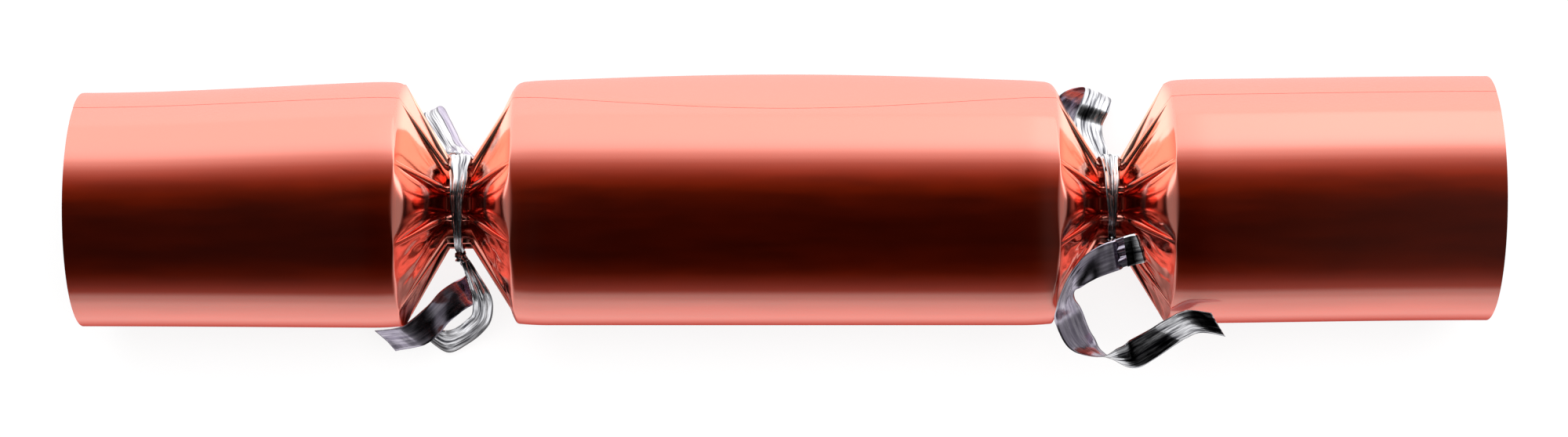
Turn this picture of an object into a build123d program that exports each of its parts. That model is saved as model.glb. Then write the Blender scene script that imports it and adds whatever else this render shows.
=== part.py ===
from build123d import *
import os
from math import atan, atan2, cos, degrees, radians, sin, tan

# A pull-apart party cracker lying on a table. All sizes are in millimetres.
# X runs along the cracker, Z is up, and the table is the plane Z = 0.

# Tubes of the wrapper
barrel_diameter = 53.0
barrel_length = 116.5
end_length = 69.75
board_thickness = 0.35
lap_width = 14.0
lap_edge_angle = 59.0

# Folded necks between the tubes, with angles from straight up towards +Y
neck_length = 24.5
fold_count = 9
first_fold_angle = 20.0
fold_tip_radius = 10.0
fold_root_radius = 6.8
fold_width_at_throat = 2.0
fold_width_at_score = 0.8
throat_width = 5.0
tear_gap = 0.3

# Card liners inside the tubes
liner_thickness = 0.6
liner_gap = 0.6
liner_setback = 4.0
end_liner_rim_recess = 1.0

# Snap: two card strips, their friction dabs and the paper sleeve round them
strip_width = 5.0
strip_thickness = 0.25
strip_overlap = 30.0
strip_wall_clearance = 0.08
strip_bend_radius = 3.0
strip_bend_setback = 1.5
strip_throat_lead = 2.0
strip_tab_length = 56.0
charge_length = 8.0
charge_width = 4.0
charge_thickness = 0.3
charge_clearance = 0.3
charge_offset = 5.0
sleeve_length = 20.0
sleeve_thickness = 0.25
sleeve_clearance = 0.4

# Contents of the barrel
rest_clearance = 0.25
crown_length = 80.0
crown_core_radius = 2.5
crown_half_turns = 6
crown_pitch = 1.5
crown_sheet = 0.9
crown_station = -10.0
crown_angle = -36.0
crown_band_width = 12.0
crown_band_thickness = 0.25
crown_band_clearance = 0.2
motto_length = 38.0
motto_core_radius = 1.6
motto_half_turns = 4
motto_pitch = 0.8
motto_sheet = 0.25
motto_station = 24.0
motto_angle = 12.0
top_disc_radius = 9.0
top_disc_rim = 3.0
top_disc_crown = 6.0
top_spindle_radius = 1.5
top_spindle_length = 26.0
top_point_length = 4.0
top_point_radius = 0.4
top_grip_share = 0.42
top_fit_clearance = 0.02
top_station = -30.0
top_angle = 36.0

# Ribbon tied round each throat
ribbon_width = 6.5
ribbon_thickness = 0.3
ribbon_gathered_width = 2.6
ribbon_band_width = 4.6
ribbon_band_clearance = 0.3
knot_length = 4.0
knot_size = 3.2
knot_round = 1.0

# Sizes that follow from the ones above
barrel_radius = barrel_diameter / 2
axis_height = barrel_radius
barrel_score = barrel_length / 2
end_score = barrel_score + neck_length
throat_middle = barrel_score + neck_length / 2
end_rim = end_score + end_length
wrapper_bore = barrel_radius - board_thickness
liner_radius = wrapper_bore - liner_gap
liner_bore = liner_radius - liner_thickness
fold_pitch = 360.0 / fold_count
end_liner_start = end_score + liner_setback
AXIS = Location((0, 0, axis_height))

# Ribbon tails, as stations chosen by eye: the middle of the ribbon from the throat's centre,
# and the direction across its width. Each tail starts gathered in the knot or at the band.
LEFT_CURL = [
    ((0.3, -11.4, -1.0), (0.3, 0.0, -1.0)),
    ((1.6, -14.4, -3.0), (0.29, 0.11, -0.95)),
    ((2.7, -17.2, -6.0), (0.4, 0.19, -0.9)),
    ((3.8, -20.4, -9.0), (0.42, 0.13, -0.9)),
    ((3.9, -23.1, -12.0), (0.48, -0.03, -0.88)),
    ((3.1, -25.6, -15.0), (0.48, -0.24, -0.84)),
    ((1.1, -27.6, -18.0), (0.46, -0.43, -0.78)),
    ((-1.9, -29.7, -20.8), (0.38, -0.56, -0.73)),
    ((-5.0, -30.7, -23.0), (0.11, -0.78, -0.61)),
    ((-7.6, -29.5, -23.8), (-0.13, -0.67, -0.73)),
    ((-9.2, -27.8, -23.6), (-0.3, -0.59, -0.75)),
]
LEFT_STREAMER = [
    ((-0.2, -11.4, -2.0), (0.6, 0.0, -0.8)),
    ((0.9, -14.2, -7.5), (0.5, -0.3, -0.8)),
    ((2.2, -17.2, -12.5), (0.45, -0.75, -0.48)),
    ((1.2, -18.9, -13.8), (0.42, -0.9, -0.1)),
    ((-0.6, -19.9, -12.0), (0.57, -0.82, 0.0)),
    ((-3.1, -21.6, -10.0), (0.67, -0.74, 0.0)),
    ((-5.7, -24.2, -8.3), (0.71, -0.71, 0.0)),
    ((-8.3, -26.9, -7.2), (0.71, -0.71, 0.0)),
    ((-11.1, -28.9, -8.8), (0.75, -0.66, 0.0)),
    ((-13.3, -29.6, -11.0), (0.77, -0.63, 0.0)),
    ((-18.1, -30.4, -16.0), (0.72, -0.69, 0.0)),
]
LEFT_SMALL_LOOP = [
    ((-0.4, 10.4, 0.3), (1.0, 0.0, 0.0)),
    ((-3.3, 12.4, -4.2), (0.42, 0.2, 0.88)),
    ((-5.2, 15.1, -6.6), (0.47, 0.24, 0.85)),
    ((-6.8, 17.8, -8.4), (0.5, 0.27, 0.82)),
    ((-8.1, 19.8, -9.8), (0.5, 0.27, 0.82)),
    ((-8.0, 20.9, -10.6), (0.5, 0.27, 0.82)),
    ((-6.9, 20.4, -11.0), (0.5, 0.27, 0.82)),
    ((-5.6, 18.0, -9.8), (0.5, 0.27, 0.82)),
    ((-4.0, 15.2, -8.0), (0.47, 0.24, 0.85)),
    ((-2.2, 12.4, -5.6), (0.42, 0.2, 0.88)),
    ((-0.6, 10.0, -3.8), (0.8, 0.1, 0.5)),
]
RIGHT_LOOP = [
    ((1.6, -8.8, 8.8), (0.35, -0.95, 0.0)),
    ((3.2, -9.8, 12.0), (0.32, -0.95, 0.0)),
    ((5.3, -9.4, 14.2), (0.29, -0.96, 0.0)),
    ((3.4, -9.8, 16.8), (0.09, -1.0, 0.0)),
    ((1.0, -10.8, 18.2), (0.14, -0.99, 0.0)),
    ((-1.7, -11.7, 18.8), (0.14, -0.99, 0.0)),
    ((-4.5, -12.9, 18.9), (0.02, -1.0, 0.0)),
    ((-7.0, -14.6, 18.8), (0.1, -0.9, -0.42)),
    ((-9.8, -17.9, 18.5), (0.4, -0.25, -0.9)),
    ((-10.5, -21.3, 16.5), (0.65, 0.25, -0.7)),
    ((-9.4, -24.7, 11.5), (0.9, 0.4, -0.15)),
    ((-6.6, -29.8, 7.0), (0.8, 0.45, -0.4)),
    ((-1.8, -32.8, 4.0), (0.2, 0.15, -0.95)),
    ((3.7, -33.6, 3.0), (-0.7, 0.5, -0.5)),
    ((6.9, -31.5, 4.0), (-0.8, 0.55, 0.0)),
    ((11.3, -28.8, 6.1), (-0.9, 0.45, 0.0)),
    ((13.6, -27.1, 9.1), (-0.75, 0.6, 0.25)),
    ((17.1, -25.3, 13.8), (-0.55, 0.75, 0.4)),
    ((22.3, -26.0, 14.2), (-0.5, 0.8, 0.35)),
]
RIGHT_UPPER_CURL = [
    ((-0.4, 7.6, -7.1), (1.0, 0.0, 0.0)),
    ((-2.6, 13.4, -13.0), (1.0, -0.2, 0.0)),
    ((-3.2, 17.8, -16.6), (0.95, -0.3, 0.0)),
    ((-1.6, 21.6, -17.8), (0.95, -0.35, 0.0)),
    ((-0.6, 24.6, -20.8), (0.9, -0.4, 0.0)),
    ((-2.8, 25.0, -24.8), (0.95, -0.3, 0.0)),
    ((-6.0, 23.0, -26.2), (0.9, -0.4, 0.0)),
    ((-8.2, 19.6, -25.2), (0.9, -0.4, 0.0)),
]
LEFT_KNOT_ANGLE = 265.0
RIGHT_KNOT_ANGLE = 314.0


def around(radius, angle):
    """Point in a cross-section, as (y, z) from the cracker's axis; 0 degrees is straight up."""
    return radius * sin(radians(angle)), radius * cos(radians(angle))


def at_x(x, point):
    """Place a cross-section point at a distance along the cracker."""
    return Vector(x, point[0], point[1])


def inset_corner(before, corner, after, distance):
    """Corner of an outline moved to the left of its travel by a distance, with a mitre."""
    first = (Vector(*corner) - Vector(*before)).normalized()
    second = (Vector(*after) - Vector(*corner)).normalized()
    first_left = Vector(-first.Y, first.X)
    second_left = Vector(-second.Y, second.X)
    mitre = (first_left + second_left) * (distance / (1 + first_left.dot(second_left)))
    return corner[0] + mitre.X, corner[1] + mitre.Y


def fold_angles():
    """Angle of each fold's ridge round the neck."""
    return [first_fold_angle + fold_pitch * index for index in range(fold_count)]


def score_wire(x, radius):
    """Round section on a score line, split where the folds start."""
    half = degrees(fold_width_at_score / 2 / barrel_radius)
    edges = []
    for ridge in fold_angles():
        stops = [ridge - half, ridge, ridge + half, ridge + fold_pitch - half]
        for start, stop in zip(stops, stops[1:]):
            angles = [start, (start + stop) / 2, stop]
            edges.append(ThreePointArc(*[at_x(x, around(radius, angle)) for angle in angles]))
    return Wire(edges)


def throat_outline(inset):
    """Corners of the gathered section in the throat, drawn in by an inset."""
    half = degrees(atan(fold_width_at_throat / 2 / fold_root_radius))
    corners = []
    for ridge in fold_angles():
        corners.append(around(fold_root_radius, ridge - half))
        corners.append(around(fold_tip_radius, ridge))
        corners.append(around(fold_root_radius, ridge + half))
    count = len(corners)
    return [
        inset_corner(corners[i - 1], corners[i], corners[(i + 1) % count], -inset)
        for i in range(count)
    ]


def throat_wire(x, inset):
    """Gathered section of the neck at one place along the throat."""
    corners = [at_x(x, corner) for corner in throat_outline(inset)]
    return Wire([Line(a, b) for a, b in zip(corners, corners[1:] + corners[:1])])


def half_neck_core(inset, shift, throat_end):
    """Solid half neck from the barrel's score line to the throat, drawn in by an inset."""
    score_x = barrel_score - shift
    throat_x = throat_middle - throat_width / 2 - shift
    cone = Solid.make_loft([score_wire(score_x, barrel_radius - inset), throat_wire(throat_x, inset)], True)
    throat = extrude(make_face(throat_wire(throat_x, inset)), throat_end - throat_x, dir=(1, 0, 0))
    return cone + throat


def half_neck():
    """Folded board of one half neck, on the +X side of the barrel."""
    cone_length = neck_length / 2 - throat_width / 2
    turn = atan2(barrel_radius - fold_tip_radius, cone_length)
    shift = board_thickness * tan(turn / 2)
    tear = throat_middle - tear_gap / 2
    return half_neck_core(0, 0, tear) - half_neck_core(board_thickness, shift, tear + board_thickness)


def tube_section():
    """Ring of board with the overlapping flap of its lap seam on the outside."""
    lap_angle = degrees(lap_width / barrel_radius)
    lap_end = lap_edge_angle + lap_angle
    outer = barrel_radius + board_thickness
    lap_middle = lap_edge_angle + lap_angle / 2
    angles = [lap_edge_angle, lap_middle, lap_end]
    outside = [around(outer, angle) for angle in angles]
    inside = [around(wrapper_bore, angle) for angle in angles]
    flap = make_face(Wire([
        ThreePointArc(*outside),
        Line(outside[-1], inside[-1]),
        ThreePointArc(*inside),
        Line(inside[0], outside[0]),
    ]))
    ring = Circle(barrel_radius) - Circle(wrapper_bore)
    return ring + flap


def along_x(section, start, stop):
    """Extrude a section drawn in (y, z) from one place to another along the cracker."""
    plane = Plane(origin=(start, 0, 0), x_dir=(0, 1, 0), z_dir=(1, 0, 0))
    return extrude(plane * section, stop - start)


def card_tube(start, stop):
    """Card liner between two places along the cracker."""
    return along_x(Circle(liner_radius) - Circle(liner_bore), start, stop)


def mirrored(solid):
    """The same piece at the other end of the cracker."""
    return mirror(solid, about=Plane.YZ)


def barrel_wrapper():
    """Middle tube with the inner half of each neck."""
    neck = half_neck()
    return along_x(tube_section(), -barrel_score, barrel_score) + neck + mirrored(neck)


def end_wrapper():
    """Tube of the +X end with the outer half of its neck."""
    neck = mirror(half_neck(), about=Plane.YZ.offset(throat_middle))
    return along_x(tube_section(), end_score, end_rim) + neck


def snap_strip(top_height):
    """Strip of the +X end: flat through the throat, then up the neck to its glued tab."""
    bend_x = end_score + strip_bend_setback
    tab_height = liner_radius + strip_wall_clearance + strip_thickness
    upper = [
        (-strip_overlap / 2, top_height),
        (throat_middle + throat_width / 2 + strip_throat_lead, top_height),
        (bend_x, tab_height),
        (bend_x + strip_tab_length, tab_height),
    ]
    before = [(upper[0][0] - 1, upper[0][1])] + upper[:-1]
    after = upper[1:] + [(upper[-1][0] + 1, upper[-1][1])]
    lower = [inset_corner(a, b, c, -strip_thickness) for a, b, c in zip(before, upper, after)]
    tight = strip_bend_radius
    wide = strip_bend_radius + strip_thickness
    upper_face = FilletPolyline(*upper, radius=[tight, wide])
    lower_face = FilletPolyline(*lower, radius=[wide, tight])
    cut_ends = [Line(upper[0], lower[0]), Line(upper[-1], lower[-1])]
    outline = make_face(Wire([*upper_face.edges(), *lower_face.edges(), *cut_ends]))
    side = Plane(origin=(0, strip_width / 2, 0), x_dir=(1, 0, 0), z_dir=(0, -1, 0))
    return extrude(side * outline, strip_width)


def snap_pieces():
    """Both strips of the snap, the friction dab on each, and the sleeve glued to the upper strip."""
    facing = charge_thickness + charge_clearance / 2
    strip_back = facing + strip_thickness
    dab = Box(charge_length, charge_width, charge_thickness)
    dab_height = (charge_thickness + charge_clearance) / 2
    sleeve_floor = -strip_back - sleeve_clearance
    sleeve_height = strip_back - sleeve_floor
    sleeve_bore = strip_width + 2 * sleeve_clearance
    sleeve_middle = Pos(0, (strip_back + sleeve_floor) / 2)
    wall = 2 * sleeve_thickness
    ring = Rectangle(sleeve_bore + wall, sleeve_height + wall) - Rectangle(sleeve_bore, sleeve_height)
    return {
        "left_snap_strip": mirrored(snap_strip(strip_back)),
        "left_snap_charge": Pos(charge_offset, 0, dab_height) * dab,
        "right_snap_strip": snap_strip(-facing),
        "right_snap_charge": Pos(-charge_offset, 0, -dab_height) * dab,
        "snap_sleeve": along_x(sleeve_middle * ring, -sleeve_length / 2, sleeve_length / 2),
    }


def spiral_roll(core_radius, half_turns, pitch, sheet, length):
    """Rolled sheet whose section is a spiral of half circles, along X from its middle."""
    inner = []
    outer = []
    for turn in range(half_turns):
        centre = (pitch / 2 * (turn % 2), 0)
        radius = core_radius + turn * pitch / 2
        start = 180 * turn
        inner.append(CenterArc(centre, radius, start, 180))
        outer.append(CenterArc(centre, radius + sheet, start, 180))
    ends = [Line(inner[0] @ 0, outer[0] @ 0), Line(inner[-1] @ 1, outer[-1] @ 1)]
    section = make_face(Wire(inner + outer + ends))
    return along_x(section, -length / 2, length / 2)


def roll_radius(core_radius, half_turns, pitch, sheet):
    """Outside radius of a rolled sheet, from the middle of its core."""
    return core_radius + half_turns * pitch / 2 + sheet


def on_liner_floor(station, angle, height):
    """Place on the inside of the barrel liner, with angles from straight down towards +Y."""
    reach = liner_bore - height - rest_clearance
    across, down = around(reach, angle)
    return Pos(station, across, -down)


def crown_pieces():
    """Rolled tissue crown and the paper band that keeps it rolled."""
    radius = roll_radius(crown_core_radius, crown_half_turns, crown_pitch, crown_sheet)
    band_bore = radius + crown_band_clearance
    band_radius = band_bore + crown_band_thickness
    place = on_liner_floor(crown_station, crown_angle, band_radius)
    roll = spiral_roll(crown_core_radius, crown_half_turns, crown_pitch, crown_sheet, crown_length)
    band = along_x(Circle(band_radius) - Circle(band_bore), -crown_band_width / 2, crown_band_width / 2)
    return place * roll, place * band


def motto_slip():
    """Rolled slip of paper."""
    radius = roll_radius(motto_core_radius, motto_half_turns, motto_pitch, motto_sheet)
    roll = spiral_roll(motto_core_radius, motto_half_turns, motto_pitch, motto_sheet, motto_length)
    return on_liner_floor(motto_station, motto_angle, radius) * roll


def turned(profile):
    """Solid turned about the X axis from a closed outline in (x, radius)."""
    return revolve(make_face(Polyline(*profile, close=True)), Axis.X)


def spinning_top():
    """Disc and spindle of a small turned spinning top, lying on its rim and its point."""
    hole = top_spindle_radius + top_fit_clearance
    disc = turned([
        (-top_disc_rim / 2, hole),
        (-top_disc_rim / 2, top_disc_radius),
        (top_disc_rim / 2, top_disc_radius),
        (top_disc_rim / 2 + top_disc_crown, hole * 2),
        (top_disc_rim / 2 + top_disc_crown, hole),
    ])
    grip_end = -top_spindle_length * top_grip_share
    point_end = grip_end + top_spindle_length
    spindle = turned([
        (grip_end, 0),
        (grip_end, top_spindle_radius),
        (point_end - top_point_length, top_spindle_radius),
        (point_end, top_point_radius),
        (point_end, 0),
    ])
    lean = degrees(atan2(top_disc_radius - top_point_radius, point_end - top_disc_rim / 2))
    height = top_disc_radius * cos(radians(lean)) + top_disc_rim / 2 * sin(radians(lean))
    place = on_liner_floor(top_station, top_angle, height) * Rot(top_angle, 0, 0) * Rot(0, lean, 0)
    return place * disc, place * spindle


def ribbon_tail(stations):
    """Flat ribbon through its stations, gathered at the first one."""
    sections = []
    for index, (middle, across) in enumerate(stations):
        before = Vector(*stations[max(index - 1, 0)][0])
        after = Vector(*stations[min(index + 1, len(stations) - 1)][0])
        wide = Vector(*across).normalized()
        run = after - before
        run = run - wide * run.dot(wide)
        width = ribbon_width if index else ribbon_gathered_width
        plane = Plane(origin=middle, x_dir=wide, z_dir=run)
        sections.append(plane * Rectangle(width, ribbon_thickness))
    spans = [loft([start, stop], ruled=True) for start, stop in zip(sections, sections[1:])]
    return spans[0] + spans[1:]


def ribbon(knot_angle, tails):
    """One length of ribbon: the band round the throat, its knot and its curled tails."""
    band_bore = fold_tip_radius + ribbon_band_clearance
    band_radius = band_bore + ribbon_thickness
    tied = along_x(Circle(band_radius) - Circle(band_bore), -ribbon_band_width / 2, ribbon_band_width / 2)
    knot = fillet(Box(knot_length, knot_size, knot_size).edges(), knot_round)
    tied += Rot(-knot_angle, 0, 0) * Pos(0, 0, band_bore + knot_size / 2) * knot
    for stations in tails:
        tied += ribbon_tail(stations)
    return tied


def build():
    """Every piece of the cracker by its name, placed in the row's frame."""
    right_end = end_wrapper()
    right_liner = card_tube(end_liner_start, end_rim - end_liner_rim_recess)
    crown, crown_band = crown_pieces()
    disc, spindle = spinning_top()
    left_tie = ribbon(LEFT_KNOT_ANGLE, [LEFT_CURL, LEFT_STREAMER, LEFT_SMALL_LOOP])
    right_tie = ribbon(RIGHT_KNOT_ANGLE, [RIGHT_LOOP, RIGHT_UPPER_CURL])
    pieces = {
        "barrel_wrapper": barrel_wrapper(),
        "barrel_liner": card_tube(-barrel_score + liner_setback, barrel_score - liner_setback),
        "left_end_wrapper": mirrored(right_end),
        "left_end_liner": mirrored(right_liner),
        "right_end_wrapper": right_end,
        "right_end_liner": right_liner,
        **snap_pieces(),
        "paper_crown": crown,
        "crown_band": crown_band,
        "motto_slip": motto_slip(),
        "gift_top_disc": disc,
        "gift_top_spindle": spindle,
        "left_ribbon": Pos(-throat_middle, 0, 0) * left_tie,
        "right_ribbon": Pos(throat_middle, 0, 0) * right_tie,
    }
    return {name: AXIS * piece for name, piece in pieces.items()}


os.makedirs("parts", exist_ok=True)
for name, piece in build().items():
    export_step(piece, os.path.join("parts", name + ".step"))
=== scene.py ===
"""Looks of a christmas cracker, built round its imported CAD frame.

Lengths are written in millimetres and turned to metres where a vertex is placed. X runs along the
cracker, Z is up, and angles round the tubes are from straight up towards +Y.
"""
import logging
import math
from dataclasses import dataclass, field
from enum import Enum
from typing import Any, Optional, Sequence

import bmesh
import bpy
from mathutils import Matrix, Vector, noise


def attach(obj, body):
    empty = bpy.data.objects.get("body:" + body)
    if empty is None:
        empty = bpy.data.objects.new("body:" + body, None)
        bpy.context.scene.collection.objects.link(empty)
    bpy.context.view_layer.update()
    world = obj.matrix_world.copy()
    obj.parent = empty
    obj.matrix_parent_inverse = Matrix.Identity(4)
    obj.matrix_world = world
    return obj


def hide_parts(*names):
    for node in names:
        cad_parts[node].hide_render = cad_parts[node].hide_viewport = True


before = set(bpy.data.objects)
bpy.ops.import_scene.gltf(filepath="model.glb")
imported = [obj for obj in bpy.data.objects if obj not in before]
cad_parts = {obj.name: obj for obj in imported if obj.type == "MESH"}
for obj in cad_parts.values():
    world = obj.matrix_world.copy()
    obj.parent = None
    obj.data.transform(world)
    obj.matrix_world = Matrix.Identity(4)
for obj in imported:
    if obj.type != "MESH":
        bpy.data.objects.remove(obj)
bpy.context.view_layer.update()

LOG = logging.getLogger("cracker")

# Sizes shared with the CAD model
TUBE_RADIUS = 26.5
AXIS_HEIGHT = 26.5
BARREL_SCORE = 58.25
HALF_NECK = 12.25
THROAT_MIDDLE = 70.5
HALF_THROAT = 2.5
TEAR_GAP = 0.3
END_LENGTH = 69.75
BOARD = 0.35
FOLD_PITCH = 40.0
FIRST_RIDGE = 60.0
FOLD_TIP = 10.0
FOLD_ROOT = 6.8
LINER_RADIUS = 25.55
LINER_CARD = 0.6
LINER_HALF = 54.25
END_LINER = (86.75, 151.5)
RIBBON_WIDTH = 6.5
FILM = 0.1

# Folds of the wrapped sheet and the mesh lines on each
FOLD_COUNT = 9
RIDGE_STEPS = 5
PANEL_STEPS = 24
LAP_STEPS = 17
# Layer over the necks, weighted to their +Y side: smoother gloss there, and a painted reflection in the
# foil's colour
FOLD_AND_PAINTED_REFLECTION_LAYER = "fold"

# A push into a neck panel, along the cracker and towards its axis
PUSH_ALONG = 0.885
PUSH_IN = 0.466
NECK_SLANT = 20.0

# The photograph's frame
IMAGE_WIDTH = 2000
PIXELS_PER_MM = 5.86
CAMERA_HEIGHT = 850.0
CAMERA_SHIFT = (-0.17, -3.24)
SENSOR_WIDTH = 36.0


def metres(x: float, y: float, z: float) -> Vector:
    """Place in the frame of a point given in millimetres from the cracker's axis."""
    return Vector((x / 1000, y / 1000, (z + AXIS_HEIGHT) / 1000))


def smooth(low: float, high: float, value: float) -> float:
    """Step softly from 0 to 1.

    Args:
        low: number at which the step starts.
        high: number at which it ends, which may be the smaller one.
        value: number to place on the step.

    Returns:
        Share of the step, from 0 to 1.
    """
    share = min(max((value - low) / (high - low), 0.0), 1.0)
    return share * share * (3 - 2 * share)


def linear(colour: str) -> tuple[float, float, float, float]:
    """Turn an sRGB hex colour to the linear values that a shader reads.

    Args:
        colour: six hex digits after a hash.

    Returns:
        Linear red, green and blue, with an alpha of 1.
    """
    parts = [int(colour[place:place + 2], 16) / 255 for place in (1, 3, 5)]
    red, green, blue = [c / 12.92 if c <= 0.04045 else ((c + 0.055) / 1.055) ** 2.4 for c in parts]
    return red, green, blue, 1.0


def add_node(tree: bpy.types.NodeTree, kind: str, settings: Optional[dict[str, Any]] = None,
             values: Optional[dict[Any, Any]] = None, links: Optional[dict[Any, Any]] = None,
             stops: Sequence[tuple[float, float]] = ()) -> bpy.types.Node:
    """Add one shader node with its settings and links.

    Args:
        tree: node tree that takes the node.
        kind: type of the node.
        settings: attributes of the node.
        values: values of its input sockets, by name or number.
        links: output sockets that feed its inputs, by name or number.
        stops: places and grey levels of a colour ramp.

    Returns:
        The new node.
    """
    made = tree.nodes.new(kind)
    for key, value in (settings or {}).items():
        setattr(made, key, value)
    for key, value in (values or {}).items():
        made.inputs[key].default_value = value
    for key, socket in (links or {}).items():
        tree.links.new(socket, made.inputs[key])
    for index, (place, level) in enumerate(stops):
        ramp = made.color_ramp.elements
        stop = ramp[index] if index < 2 else ramp.new(place)
        stop.position = place
        stop.color = (level, level, level, 1)
    return made


@dataclass(frozen=True)
class Finish:
    """Surface of one real material, as a shader with its own pattern."""

    label: str
    colour: str

    def start(self) -> tuple[bpy.types.Material, bpy.types.NodeTree, bpy.types.Node]:
        """Make an empty material with a principled shader.

        Returns:
            The material, its node tree and its shader node.
        """
        made = bpy.data.materials.new(self.label)
        made.use_nodes = True
        made.node_tree.nodes.clear()
        shader = add_node(made.node_tree, "ShaderNodeBsdfPrincipled",
                          values={"Base Color": linear(self.colour)})
        add_node(made.node_tree, "ShaderNodeOutputMaterial", links={"Surface": shader.outputs["BSDF"]})
        return made, made.node_tree, shader

    def pattern(self, tree: bpy.types.NodeTree, size_mm: tuple[float, float, float], detail: float,
                source: str = "Object") -> bpy.types.NodeSocket:
        """Add a noise pattern with a real size.

        Args:
            tree: node tree that takes it.
            size_mm: width of one spot along each axis.
            detail: number of finer layers.
            source: texture coordinate that it follows.

        Returns:
            The noise's value socket.
        """
        place = add_node(tree, "ShaderNodeTexCoord")
        scale = tuple(1000 / size for size in size_mm)
        mapped = add_node(tree, "ShaderNodeMapping", values={"Scale": scale},
                          links={"Vector": place.outputs[source]})
        spots = add_node(tree, "ShaderNodeTexNoise", values={"Scale": 1.0, "Detail": detail},
                         links={"Vector": mapped.outputs["Vector"]})
        return spots.outputs["Fac"]

    def between(self, tree: bpy.types.NodeTree, value: bpy.types.NodeSocket, low: float, high: float
                ) -> bpy.types.NodeSocket:
        """Spread a pattern's middle range over a range of numbers.

        Args:
            tree: node tree that takes it.
            value: pattern from 0 to 1.
            low: number at its low end.
            high: number at its high end.

        Returns:
            The socket with the new numbers.
        """
        spread = {"From Min": 0.3, "From Max": 0.7, "To Min": low, "To Max": high}
        return add_node(tree, "ShaderNodeMapRange", values=spread, links={"Value": value}).outputs["Result"]

    def raised(self, tree: bpy.types.NodeTree, shader: bpy.types.Node,
               layers: Sequence[tuple[bpy.types.NodeSocket, float]]) -> None:
        """Raise a shader's surface by patterns.

        Args:
            tree: node tree that takes the bumps.
            shader: shader whose normal they change.
            layers: patterns with their heights in millimetres.
        """
        normal = {}
        for value, height_mm in layers:
            bump = add_node(tree, "ShaderNodeBump", values={"Strength": 1.0, "Distance": height_mm / 1000},
                            links={"Height": value, **normal})
            normal = {"Normal": bump.outputs["Normal"]}
        tree.links.new(normal["Normal"], shader.inputs["Normal"])


@dataclass(frozen=True)
class FoilBoard(Finish):
    """Copper mirror film laminated on board.

    The colour is in a lacquer over bright metal. Most light is scattered a little in the lacquer and comes
    back deep red, and the rest is mirrored at its top as pale salmon. The necks' folds get a paler colour,
    most on their +Y side, as a painted reflection of the bright wall, and a smoother gloss. The board under
    the film gives it a faint waviness along the tube.
    """

    slant: str = "#fd3608"
    slant_from: float = 0.08
    slant_to: float = 0.5
    # Painted reflection: paler colour in the necks' folds, standing in for the bright wall that they mirror
    fold_painted_reflection: str = "#ee9478"
    roughness: tuple[float, float] = (0.47, 0.53)
    fold_roughness: float = 0.2
    taut_from: float = 0.2
    gloss: str = "#fff0e4"
    gloss_share: float = 0.3
    gloss_roughness: float = 0.13
    streak_mm: tuple[float, float, float] = (140.0, 6.0, 6.0)
    streak_height_mm: float = 0.006
    wave_mm: float = 34.0
    wave_height_mm: float = 0.05
    rub_mm: float = 3.0

    def material(self) -> bpy.types.Material:
        """Make the foil's material.

        Returns:
            The new material.
        """
        made, tree, shader = self.start()
        shader.inputs["Metallic"].default_value = 1.0
        facing = add_node(tree, "ShaderNodeLayerWeight", values={"Blend": 0.5})
        share = add_node(tree, "ShaderNodeMapRange", {"interpolation_type": "SMOOTHSTEP"},
                         values={"From Min": self.slant_from, "From Max": self.slant_to},
                         links={"Value": facing.outputs["Facing"]})
        tone = add_node(tree, "ShaderNodeMix", {"data_type": "RGBA"},
                        values={6: linear(self.colour), 7: linear(self.slant)},
                        links={0: share.outputs[0]})
        # The necks' layer mixes the painted fold reflection into the colour and makes the folds glossier
        fold = add_node(tree, "ShaderNodeAttribute", {"attribute_name": FOLD_AND_PAINTED_REFLECTION_LAYER})
        whole = add_node(tree, "ShaderNodeMix", {"data_type": "RGBA"}, values={7: linear(self.fold_painted_reflection)},
                         links={0: fold.outputs["Fac"], 6: tone.outputs[2]})
        shader.inputs["Base Color"].default_value = linear(self.gloss)
        shader.inputs["Roughness"].default_value = self.gloss_roughness
        rub = self.pattern(tree, (self.rub_mm * 6, self.rub_mm, self.rub_mm), 4)
        taut = add_node(tree, "ShaderNodeMapRange", values={"From Max": self.taut_from},
                        links={"Value": fold.outputs["Fac"]})
        worn = add_node(tree, "ShaderNodeMix", values={3: self.fold_roughness},
                        links={0: taut.outputs[0], 2: self.between(tree, rub, *self.roughness)})
        streak = self.pattern(tree, self.streak_mm, 2)
        wave = self.pattern(tree, (self.wave_mm,) * 3, 1)
        self.raised(tree, shader, [(wave, self.wave_height_mm), (streak, self.streak_height_mm)])
        lacquer = add_node(tree, "ShaderNodeBsdfAnisotropic", {"distribution": "BECKMANN"},
                           links={"Color": whole.outputs[2], "Roughness": worn.outputs[0],
                                  "Normal": shader.inputs["Normal"].links[0].from_socket})
        both = add_node(tree, "ShaderNodeMixShader", values={0: self.gloss_share},
                        links={1: lacquer.outputs[0], 2: shader.outputs[0]})
        tree.links.new(both.outputs[0], tree.nodes["Material Output"].inputs["Surface"])
        return made


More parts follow.
